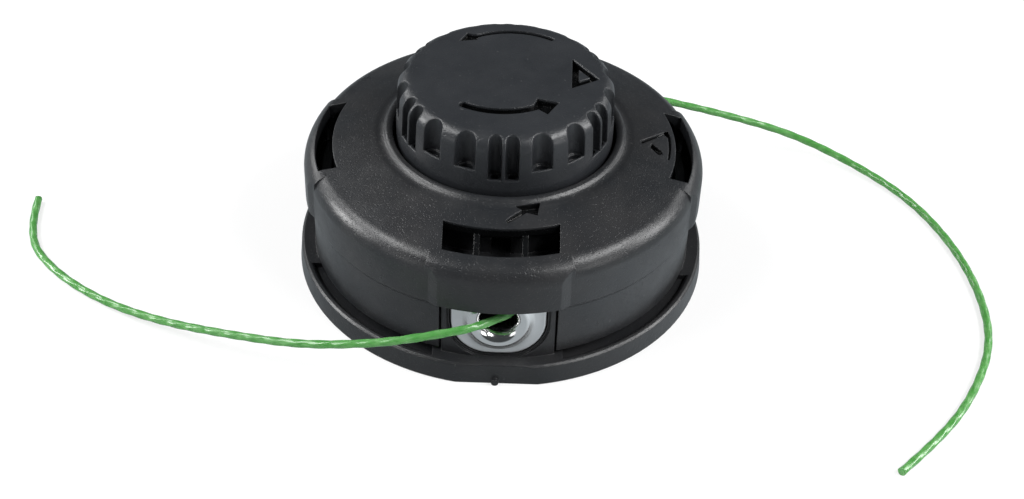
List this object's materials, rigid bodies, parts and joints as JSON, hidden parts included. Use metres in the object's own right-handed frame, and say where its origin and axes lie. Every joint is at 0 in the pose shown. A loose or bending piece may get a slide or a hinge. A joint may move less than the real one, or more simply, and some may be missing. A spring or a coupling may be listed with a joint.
{
  "type": "bump feed trimmer head",
  "caption": "Round bump feed head for a line trimmer: flanged case, vented cover, fluted knob that turns and presses in, and a cutting line from each side eyelet.",
  "frame": {"origin": "centre of the flange's lower face, which faces the machine", "axes": "+Z along the head's axis towards the bump knob; -Y towards the front eyelet"},
  "size_m": [0.2415, 0.1275, 0.0522],
  "materials": {
    "case_plastic": "fine moulded grain, satin",
    "cover_plastic": "fine moulded grain, satin",
    "knob_plastic": "fine moulded grain, satin",
    "spool_plastic": "smooth moulded",
    "nut_steel": "turned and zinc plated",
    "washer_steel": "pressed sheet",
    "spring_steel": "drawn wire",
    "eyelet_zinc": "die-cast, polished bell mouth",
    "green_line": "twisted nylon, glossy"
  },
  "bodies": {
    "housing": {"case": "case_plastic", "cover": "cover_plastic", "drive_nut": "nut_steel", "retaining_ring": "spring_steel", "eyelet_front": "eyelet_zinc", "eyelet_rear": "eyelet_zinc", "bump_spring": "spring_steel", "line_front": "green_line", "line_rear": "green_line"},
    "bump_carrier": {"thrust_washer": "washer_steel"},
    "reel": {"spool": "spool_plastic", "knob": "knob_plastic", "line_coil_lower": "green_line", "line_coil_upper": "green_line"}
  },
  "joints": [
    {"name": "bump_press", "type": "slide", "parent": "housing", "child": "bump_carrier", "axis": [0, 0, -1], "range_m": [0, 0.0045], "stiffness_N_per_m": 2500, "springref_m": -0.006, "deforming": ["bump_spring"]},
    {"name": "knob_turn", "type": "hinge", "parent": "bump_carrier", "child": "reel", "pos_m": [0, 0, 0.02], "axis": [0, 0, 1], "continuous": true}
  ]
}
